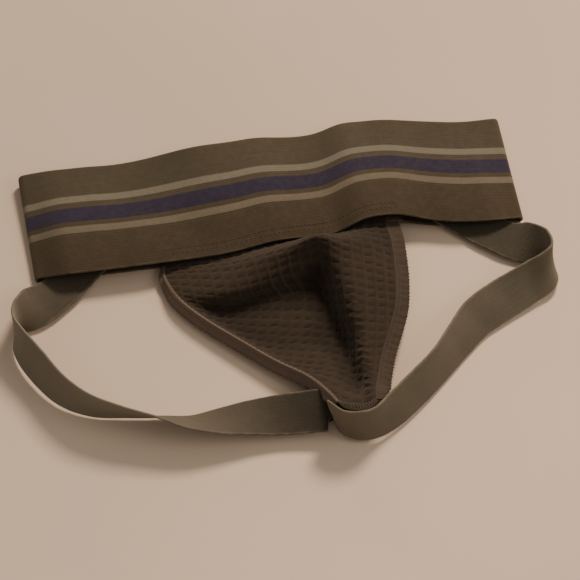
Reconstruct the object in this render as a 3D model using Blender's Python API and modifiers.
"""Soft athletic supporter: a wide woven elastic waistband, a knit pouch and two
leg straps, laid down flat with the waistband loop folded on itself.

Frame, in metres: +X runs along the flattened waistband, +Y points from the pouch
towards the waistband, +Z is up. The origin is on the outer face of the
waistband's back layer, where the supporter rests, half way along and across it.
Lengths below are in millimetres and are scaled by MM as objects are made.
"Left" is -X and "right" is +X.
"""

import math

import bpy
from mathutils import Matrix, Vector

MM = 0.001
UP = Vector((0, 0, 1))
GAP = 0.3  # clearance between pieces that are sewn together
THREAD = 0.42  # diameter of the sewing thread

# Waistband: a loop of woven elastic, pressed flat
BAND_WIDTH = 76.2
BAND_LENGTH = 304.0
BAND_THICK = 1.6
BAND_MIN_SPREAD = 4.6  # least distance between the centres of the two layers
BAND_SPREAD_BLEND = 0.6  # square mm, rounds the change to the least distance
BAND_FRONT_REST = 5.2  # height of the front layer's centre where no wave lifts it
BAND_FOLD_BULGE = 2.9  # how far each folded end reaches past the flat layers
BAND_SKEW = 4.5  # difference in x between the two edges at the left fold
BAND_SKEW_PIVOT = 0.25  # share of the width at which the skew is nought
BAND_FLAT_STEPS = 38
BAND_FOLD_STEPS = 5
BAND_WIDTH_STEPS = 4
# Bumps along the band: (centre x, half width, size)
BAND_WAVES = (  # height of the front layer
    (-133, 20, 2.8),
    (-110, 12, 1.2),
    (-36, 30, 5.0),
    (-5, 14, 1.8),
    (50, 13, 4.8),
    (72, 22, 5.0),
    (108, 18, 1.5),
    (146, 12, 1.0),
)
# rise of the front layer from its lower (-Y) edge to its upper (+Y) edge
BAND_TILT = ((0, 1000, 5.0), (-46, 34, 9.0), (66, 24, -8.0))
BAND_BACK_WAVES = ((70, 17, 3.4),)  # lift of the back layer off its rest plane
BAND_BACK_LIFT_SPAN = (20, 125)  # x range outside which the back layer lies flat
BAND_BOW = ((68, 38, 9.8), (2, 27, 5.0))  # offset in y, away from the pouch

# Zigzag across the width of the back layer, on its inner face
JOIN_X = -58
JOIN_INSET = 3  # from each edge of the band
JOIN_SWING = 3
JOIN_STEPS = 34

# Leg straps: webbing centreline x, y, z and lean of its width from vertical, in
# degrees. A positive lean tips the upper edge out of the leg opening. Each
# table runs from the waistband to the base of the pouch.
STRAP_WIDTH = 25.4
STRAP_THICK = 1.5
LEFT_STRAP = (
    (-111, -22, 2.7, 90),
    (-123, -33.5, 2.7, 90),
    (-133.5, -44.5, 3.2, 90),
    (-143, -52.5, 4.4, 84),
    (-152.5, -60.5, 8.8, 57),
    (-161.5, -68, 12.9, 16),
    (-165, -77, 13.5, -5),
    (-162.5, -88, 13.7, -19),
    (-154, -104, 13.6, -25),
    (-142, -122, 13.6, -18),
    (-126, -135, 13.6, -2),
    (-107, -142.5, 13.3, 15),
    (-88, -148, 12.2, 29),
    (-69, -153.5, 10.2, 46),
    (-51, -154.5, 8.8, 66),
    (-32, -154.5, 8.2, 84),
    (-14, -156, 9.5, 100),
    (8.5, -158.5, 12.8, 110),
)
RIGHT_STRAP = (
    (105, -21, 3.0, 90),
    (117, -32.5, 2.9, 90),
    (128.5, -43, 3.2, 90),
    (139, -51.5, 4.0, 87),
    (148.5, -59, 8.8, 54),
    (156, -66, 12.2, 30),
    (160.5, -75, 13.6, -8),
    (155, -84, 13.2, -38),
    (142, -90, 10.6, -49),
    (124, -98, 8.9, -56),
    (107, -108.5, 9.8, -48),
    (93, -123, 11.4, -35),
    (79, -138, 12.4, -27),
    (64, -151, 12.6, -28),
    (49, -163, 13.2, -26),
    (36, -171.5, 14.6, -16),
    (25, -172.8, 15.5, -10),
    (16.5, -169.5, 15.8, -2),
    (12.5, -164, 15.8, 5),
)
# arc length where each strap leaves the band end and joins the pouch end
LEFT_SPLIT = (48, 236)
RIGHT_SPLIT = (46, 204)
SPLIT_GAP = 3.0  # clears the webbing's own thickness when it swings
STRAP_CURVE_STEPS = 6  # a span of the table
BAND_END_STEPS = 7
STRAP_STEPS = 40
POUCH_END_STEPS = 12

# Zigzag out across each strap's band end and back again
TACK_ROWS = ((4.0, 1), (11.0, -1))  # arc length along the strap, way across it
TACK_REACH = 11  # either side of the strap's centreline
TACK_SWING = 1.2
TACK_STEPS = 14

# Pouch: one knit panel, slack enough to fall into a hollow behind a soft rim.
# Rows run from the waistband to the base, columns from the left leg edge to the
# right one; each entry is x, y and height.
POUCH_THICK = 1.2
POUCH_STEPS = 2  # a span of the cage
POUCH_CAGE = (
    ((-73, -40, 3.4), (-56, -40, 4.2), (-36, -39, 4.6), (-14, -36.4, 5.2), (8, -34, 5.2),
     (22, -34, 5.4), (36, -33.4, 6.6), (52, -32.4, 9.6), (66.5, -31.4, 8.8)),
    ((-73, -50, 6.2), (-55, -51, 8.2), (-36, -51, 10), (-15, -49, 15), (6, -47, 21),
     (20, -45.5, 25.5), (35, -48, 24), (53, -47, 17.5), (67, -47, 11.6)),
    ((-68.5, -64, 9), (-53, -68, 10.8), (-36, -69.5, 12.8), (-17, -66, 16), (4, -60, 21.5),
     (20, -55.5, 25), (34.5, -62, 23.5), (52.5, -63, 18.5), (66, -64, 12)),
    ((-62, -74.5, 10), (-50, -77, 6), (-35, -77, 4.2), (-16, -75, 3.9), (4, -72, 4),
     (20, -71, 5), (33, -80, 22), (50.5, -80, 18.2), (64.2, -78.5, 12.6)),
    ((-51, -87, 10.3), (-40, -90, 5.5), (-25, -91, 3.6), (-8, -91, 3.2), (10, -91, 3.4),
     (24, -92, 4.4), (34, -98, 19.5), (48.5, -97, 17.4), (60.6, -95, 12.6)),
    ((-34, -103.5, 11), (-24, -106, 7), (-11, -107, 5), (3, -107, 4.5), (16, -107, 4),
     (27, -109, 5), (35.5, -114, 17.5), (45.5, -113, 16.8), (54.2, -110.5, 13)),
    ((-16, -120.5, 12), (-7, -122, 9.5), (3, -123, 9), (13, -124, 9), (22, -125, 7),
     (28.5, -127, 6.5), (35, -130, 17.5), (41.5, -130, 16.6), (46.8, -127, 14)),
    ((1, -135.5, 15), (7, -137, 15), (13, -139, 15), (19, -141, 14), (25, -143, 12),
     (29.5, -145, 12), (34.5, -146.5, 18.5), (37.6, -147, 18.5), (40.8, -145.5, 17)),
    ((10.5, -151, 20.8), (13, -153.5, 21.4), (16.5, -155.5, 21.6), (20, -157, 21.4),
     (24, -158.2, 21), (28.5, -159, 21), (32.6, -158.8, 22), (35.6, -157.5, 22.2),
     (38.2, -156.2, 21.6)),
    ((15.6, -163, 24), (17.6, -165.6, 24.4), (20.4, -167.4, 24.6), (23.2, -168.4, 24.6),
     (26, -168.9, 24.6), (28.8, -169, 24.6), (31.8, -168.5, 24.6), (34.8, -166.8, 24.5),
     (37, -164, 24.2)),
)

# Hem inside the band loop and the zigzag over it; depths are from the band's lower edge
HEM_START_X = -72
HEM_LENGTH = 147
HEM_STEPS = 30
HEM_DEPTHS = (1.0, 6.0, 11.0)
SEAM_START_X = -70
SEAM_LENGTH = 143
SEAM_STEPS = 74
SEAM_DEPTH = 5.0
SEAM_SWING = 1.6

# Elastic binding along the leg edges of the pouch
BINDING_WIDTH = 8.0
BINDING_THICK = 1.3
BINDING_DROP = {"left": 72, "right": 12}  # degrees turned down from level
BINDING_START_SHARE = 0.35  # share of the drop at the waistband
BINDING_TURN_ROWS = 4  # rows over which the full drop is reached
BINDING_SHORT_ROWS = 4  # rows at the base of the panel that carry no binding
BINDING_FLOOR = 3.2  # the binding is narrowed to stay about this high
BINDING_MIN_SINE = 0.2  # least slope used in working out that narrowing
BINDING_CLEARANCE = (GAP + 0.1, 0.9)  # from the panel: level, and added when vertical
OVERLOCK_PITCH = 4.0
OVERLOCK_OFFSET = GAP + 0.35
OVERLOCK_TOOTH = 0.7

BASE_TACK_SWING = 1.1

# Sewn seam that the pouch swings on
SEAM_LEFT = (-74, -39.5, 4.5)
SEAM_RIGHT = (76, -29.5, 10.5)
HINGE_DISPLAY_SIZE = 0.02  # metres


def clear_scene():
    for obj in list(bpy.data.objects):
        bpy.data.objects.remove(obj, do_unlink=True)
    for collection in list(bpy.data.collections):
        bpy.data.collections.remove(collection)


clear_scene()
parts = bpy.data.collections.new("athletic_supporter")
bpy.context.scene.collection.children.link(parts)


def material(name, colour, roughness):
    mat = bpy.data.materials.new(name)
    mat.use_nodes = True
    shader = mat.node_tree.nodes["Principled BSDF"]
    shader.inputs["Base Color"].default_value = (*colour, 1)
    shader.inputs["Roughness"].default_value = roughness
    return mat


elastic = material("woven_elastic_olive", colour=(0.085, 0.06, 0.032), roughness=0.85)
knit = material("eyelet_knit_brown", colour=(0.055, 0.034, 0.018), roughness=0.9)
trim = material("binding_elastic_brown", colour=(0.075, 0.048, 0.03), roughness=0.85)
webbing = material("strap_elastic_olive", colour=(0.125, 0.095, 0.055), roughness=0.85)
cotton = material("sewing_thread", colour=(0.07, 0.05, 0.03), roughness=0.7)


# ---------------------------------------------------------------- helpers
def waves(x, table):
    """Sum of smooth bumps, each (centre, half width, size)."""
    return sum(size * math.exp(-(((x - centre) / half) ** 2)) for centre, half, size in table)


def zigzag(i, swing):
    """Sideways offset of point i in a zigzag."""
    return swing if i % 2 else -swing


def catmull_rom(p0, p1, p2, p3, t):
    """One coordinate of the curve, t from 0 at p1 to 1 at p2."""
    slope = p2 - p0
    bend = 2 * p0 - 5 * p1 + 4 * p2 - p3
    twist = 3 * p1 - p0 - 3 * p2 + p3
    return 0.5 * (2 * p1 + slope * t + bend * t * t + twist * t**3)


def curve_through(points, steps):
    """Catmull-Rom curve through points of any dimension, steps a span."""
    ends = [
        [2 * a - b for a, b in zip(points[0], points[1])],
        *[list(p) for p in points],
        [2 * a - b for a, b in zip(points[-1], points[-2])],
    ]
    curve = []
    for i in range(len(points) - 1):
        for k in range(steps):
            curve.append([catmull_rom(*values, k / steps) for values in zip(*ends[i : i + 4])])
    curve.append(list(points[-1]))
    return curve


def at_length(line, length):
    """The point of a polyline at an arc length, measured on its first three values."""
    run = 0.0
    for a, b in zip(line, line[1:]):
        step = math.dist(a[:3], b[:3])
        if run + step >= length:
            t = (length - run) / step
            return [u + (v - u) * t for u, v in zip(a, b)]
        run += step
    return list(line[-1])


def length_of(line):
    return sum(math.dist(a[:3], b[:3]) for a, b in zip(line, line[1:]))


def sheet(name, grid, thick, mat, closed=False):
    """A grid of points in millimetres, made into a cloth shell of even thickness."""
    mesh = bpy.data.meshes.new(name)
    rows, cols = len(grid), len(grid[0])
    verts = [tuple(c * MM for c in p) for row in grid for p in row]
    faces = []
    for i in range(rows if closed else rows - 1):
        j = (i + 1) % rows
        for k in range(cols - 1):
            faces.append((i * cols + k, i * cols + k + 1, j * cols + k + 1, j * cols + k))
    mesh.from_pydata(verts, [], faces)
    mesh.materials.append(mat)
    obj = bpy.data.objects.new(name, mesh)
    parts.objects.link(obj)
    shell = obj.modifiers.new("cloth", "SOLIDIFY")
    shell.thickness = thick * MM
    shell.offset = 0
    shell.use_even_offset = True
    shell.use_quality_normals = True
    mesh.shade_smooth()
    return obj


def thread(name, run):
    """Sewing thread laid along a run of points, as one cord."""
    curve = bpy.data.curves.new(name, "CURVE")
    curve.dimensions = "3D"
    curve.bevel_depth = THREAD / 2 * MM
    curve.bevel_resolution = 0
    curve.use_fill_caps = True
    spline = curve.splines.new("POLY")
    spline.points.add(len(run) - 1)
    for point, p in zip(spline.points, run):
        point.co = (*(c * MM for c in p), 1)
    curve.materials.append(cotton)
    obj = bpy.data.objects.new(name, curve)
    parts.objects.link(obj)
    return obj


# ---------------------------------------------------------------- waistband
def band_y(x, depth):
    """The y of a point at a depth into the band from its lower edge."""
    return -BAND_WIDTH / 2 + depth + waves(x, BAND_BOW)


def back_height(x):
    """Height of the back layer's centre."""
    low, high = BAND_BACK_LIFT_SPAN
    return BAND_THICK / 2 + (waves(x, BAND_BACK_WAVES) if low < x < high else 0.0)


def front_height(x, t):
    """Height of the front layer's centre, t from 0 at the lower edge to 1."""
    z = BAND_FRONT_REST + waves(x, BAND_WAVES) + waves(x, BAND_TILT) * (t - 0.5)
    least = back_height(x) + BAND_MIN_SPREAD
    # a soft maximum, so that the layer meets its lowest height without a crease
    return least + 0.5 * (z - least + math.sqrt((z - least) ** 2 + BAND_SPREAD_BLEND))


# x where the flat layers give way to the folds
BAND_REACH = BAND_LENGTH / 2 - BAND_THICK / 2 - BAND_FOLD_BULGE


def band_stations():
    """Once round the loop: (part, x) on the layers, (part, angle from top) on the folds."""
    xs = [-BAND_REACH + 2 * BAND_REACH * i / BAND_FLAT_STEPS for i in range(BAND_FLAT_STEPS + 1)]
    turns = [math.pi * i / BAND_FOLD_STEPS for i in range(1, BAND_FOLD_STEPS)]
    return [
        *[("front", x) for x in reversed(xs)],
        *[("left", turn) for turn in turns],
        *[("back", x) for x in xs],
        *[("right", turn) for turn in reversed(turns)],
    ]


def band_point(part, value, t):
    depth = BAND_WIDTH * t
    skew = BAND_SKEW * (t - BAND_SKEW_PIVOT)
    if part in ("front", "back"):
        z = front_height(value, t) if part == "front" else back_height(value)
        x = value - skew * (max(0.0, -value) / (BAND_LENGTH / 2)) ** 3
        return (x, band_y(value, depth), z)
    side = -1 if part == "left" else 1
    top = front_height(side * BAND_REACH, t)
    low = back_height(side * BAND_REACH)
    x = side * (BAND_REACH + BAND_FOLD_BULGE * math.sin(value))
    if part == "left":
        x -= skew
    return (x, band_y(x, depth), (top + low) / 2 + (top - low) / 2 * math.cos(value))


def waistband():
    shares = [k / BAND_WIDTH_STEPS for k in range(BAND_WIDTH_STEPS, -1, -1)]
    grid = [[band_point(*station, t) for t in shares] for station in band_stations()]
    sheet("waistband", grid, BAND_THICK, elastic, closed=True)


def join_stitches():
    """Zigzag on the inner face of the back layer, from its lower to its upper edge."""
    z = BAND_THICK + GAP + THREAD / 2
    run = []
    for i in range(JOIN_STEPS + 1):
        depth = JOIN_INSET + (BAND_WIDTH - 2 * JOIN_INSET) * i / JOIN_STEPS
        run.append((JOIN_X + zigzag(i, JOIN_SWING), band_y(JOIN_X, depth), z))
    thread("waistband_join_stitching", run)


waistband()
join_stitches()


# ---------------------------------------------------------------- leg straps
def strap_frames(side, table):
    """Smooth centreline with the direction of the webbing's width at each point."""
    line = curve_through(table, STRAP_CURVE_STEPS)
    frames = []
    for i, p in enumerate(line):
        before, after = line[max(i - 1, 0)], line[min(i + 1, len(line) - 1)]
        along = (Vector(after[:3]) - Vector(before[:3])).normalized()
        outward = along.cross(UP).normalized()
        rise = outward.cross(along)
        if side == "right":
            outward = -outward
        lean = math.radians(p[3])
        frames.append([*p[:3], *(rise * math.cos(lean) + outward * math.sin(lean))])
    return frames


def frame_at(frames, length):
    """Centre and width direction of the webbing at an arc length."""
    values = at_length(frames, length)
    return Vector(values[:3]), Vector(values[3:]).normalized()


def strap_piece(name, frames, start, end, steps):
    grid = []
    for i in range(steps + 1):
        centre, width = frame_at(frames, start + (end - start) * i / steps)
        grid.append([centre + width * (STRAP_WIDTH * share) for share in (-0.5, 0, 0.5)])
    return sheet(name, grid, STRAP_THICK, webbing)


def strap(side, frames, split):
    """Fixed band end, moving strap and pouch end; returns the last two."""
    name = f"leg_strap_{side}"
    half_gap = SPLIT_GAP / 2
    first, second = split
    strap_piece(f"{name}_band_end", frames, 0, first - half_gap, BAND_END_STEPS)
    moving = strap_piece(name, frames, first + half_gap, second - half_gap, STRAP_STEPS)
    pouch_end = strap_piece(
        f"{name}_pouch_end", frames, second + half_gap, length_of(frames), POUCH_END_STEPS
    )
    return moving, pouch_end


def hip_tack(side, frames):
    """Two zigzag rows across the strap's band end."""
    run = []
    lift = UP * (STRAP_THICK / 2 + GAP + THREAD / 2)
    for length, way in TACK_ROWS:
        centre, width = frame_at(frames, length)
        along = width.cross(UP).normalized()
        for i in range(TACK_STEPS + 1):
            offset = way * (-TACK_REACH + 2 * TACK_REACH * i / TACK_STEPS)
            run.append(centre + width * offset + along * zigzag(i, TACK_SWING) + lift)
    thread(f"hip_bartack_{side}", run)


left_frames = strap_frames("left", LEFT_STRAP)
right_frames = strap_frames("right", RIGHT_STRAP)
left_strap, left_pouch_end = strap("left", left_frames, LEFT_SPLIT)
right_strap, right_pouch_end = strap("right", right_frames, RIGHT_SPLIT)
hip_tack("left", left_frames)
hip_tack("right", right_frames)


# ---------------------------------------------------------------- pouch
def refine(cage, steps):
    """Smooth grid through a cage, by curves along its rows and then its columns."""
    rows = [curve_through(row, steps) for row in cage]
    cols = [curve_through(col, steps) for col in zip(*rows)]
    return list(zip(*cols))


def top_hem():
    """Knit strip inside the band loop, under the front layer's lower edge."""
    drop = BAND_THICK / 2 + 2 * GAP + POUCH_THICK / 2
    grid = []
    for i in range(HEM_STEPS + 1):
        x = HEM_START_X + HEM_LENGTH * i / HEM_STEPS
        grid.append(
            [(x, band_y(x, d), front_height(x, d / BAND_WIDTH) - drop) for d in HEM_DEPTHS]
        )
    sheet("pouch_top_hem", grid, POUCH_THICK, knit)


def seam_stitches():
    """Zigzag row on the outer face of the front layer, over the hem."""
    lift = BAND_THICK / 2 + GAP + THREAD
    run = []
    for i in range(SEAM_STEPS + 1):
        x = SEAM_START_X + SEAM_LENGTH * i / SEAM_STEPS
        depth = SEAM_DEPTH + zigzag(i, SEAM_SWING)
        run.append((x, band_y(x, depth), front_height(x, depth / BAND_WIDTH) + lift))
    thread("pouch_seam_stitching", run)


def binding_frames(side):
    """Rows of points across the binding, with its outward and face directions."""
    edge_col, inner_col = (0, 1) if side == "left" else (-1, -2)
    edge = [Vector(row[edge_col]) for row in pouch_grid]
    inside = [Vector(row[inner_col]) for row in pouch_grid]
    level_gap, vertical_gap = BINDING_CLEARANCE
    frames = []
    for i in range(len(edge) - BINDING_SHORT_ROWS):
        along = (edge[i + 1] - edge[max(i - 1, 0)]).normalized()
        out = edge[i] - inside[i]
        out -= along * out.dot(along)
        out.z = 0
        out.normalize()
        share = BINDING_START_SHARE + (1 - BINDING_START_SHARE) * min(1.0, i / BINDING_TURN_ROWS)
        turn = math.radians(BINDING_DROP[side] * share)
        sine = math.sin(turn)
        across = out * math.cos(turn) - UP * sine
        width = min(BINDING_WIDTH, (edge[i].z - BINDING_FLOOR) / max(sine, BINDING_MIN_SINE))
        start = edge[i] + across * (level_gap + vertical_gap * sine)
        row = [start, start + across * (width / 2), start + across * width]
        face = along.cross(across) if side == "right" else across.cross(along)
        frames.append((row, across, face.normalized()))
    return frames


def overlock(side, frames):
    """Small teeth of thread just off the outer edge of the binding."""
    line = [list(row[-1]) for row, _, _ in frames]
    total = length_of(line)
    steps = round(total / OVERLOCK_PITCH) * 2
    run = []
    for i in range(steps + 1):
        p = Vector(at_length(line, total * i / steps))
        nearest = min(frames, key=lambda frame: (frame[0][-1] - p).length)
        run.append(p + nearest[1] * (OVERLOCK_OFFSET + (OVERLOCK_TOOTH if i % 2 else 0.0)))
    return thread(f"overlock_{side}", run)


def binding_stitches(side, frames):
    """Thread along the middle of the binding."""
    lift = BINDING_THICK / 2 + GAP + THREAD / 2
    run = [row[1] + face * lift for row, _, face in frames]
    return thread(f"binding_stitching_{side}", curve_through(run, 2))


def leg_binding(side):
    frames = binding_frames(side)
    return [
        sheet(f"binding_{side}", [row for row, _, _ in frames], BINDING_THICK, trim),
        overlock(side, frames),
        binding_stitches(side, frames),
    ]


def base_stitches():
    """Zigzag across the panel, one row in from its base edge."""
    lift = POUCH_THICK / 2 + GAP + THREAD
    run = [
        (x, y + zigzag(i, BASE_TACK_SWING), z + lift)
        for i, (x, y, z) in enumerate(curve_through(pouch_grid[-2], 2))
    ]
    return thread("pouch_base_bartack", run)


pouch_grid = refine(POUCH_CAGE, POUCH_STEPS)
pouch_pieces = [sheet("pouch_panel", pouch_grid, POUCH_THICK, knit)]
top_hem()
seam_stitches()
pouch_pieces += leg_binding("left") + leg_binding("right")
pouch_pieces += [base_stitches(), left_pouch_end, right_pouch_end]


# ---------------------------------------------------------------- joint axes
def carry(parent, obj):
    """Parent obj without moving it."""
    obj.parent = parent
    obj.matrix_parent_inverse = parent.matrix_basis.inverted()


def hinge(name, start, end, pieces, parent=None):
    """Empty half way along a joint axis, its X along the axis, that carries pieces."""
    start, end = Vector(start) * MM, Vector(end) * MM
    turn = (end - start).to_track_quat("X", "Z").to_matrix().to_4x4()
    empty = bpy.data.objects.new(name, None)
    empty.empty_display_size = HINGE_DISPLAY_SIZE
    parts.objects.link(empty)
    if parent:
        carry(parent, empty)
    empty.matrix_basis = Matrix.Translation((start + end) / 2) @ turn
    for piece in pieces:
        carry(empty, piece)
    return empty


def strap_axis(frames, split):
    """Centreline points at the middle of both gaps, band end first."""
    return [at_length(frames, length)[:3] for length in split]


pouch_hinge = hinge("pouch_hinge", SEAM_RIGHT, SEAM_LEFT, pouch_pieces)
# both strap axes run with the leg opening on the same hand
left_axis = reversed(strap_axis(left_frames, LEFT_SPLIT))
right_axis = strap_axis(right_frames, RIGHT_SPLIT)
hinge("left_strap_hinge", *left_axis, [left_strap], pouch_hinge)
hinge("right_strap_hinge", *right_axis, [right_strap], pouch_hinge)
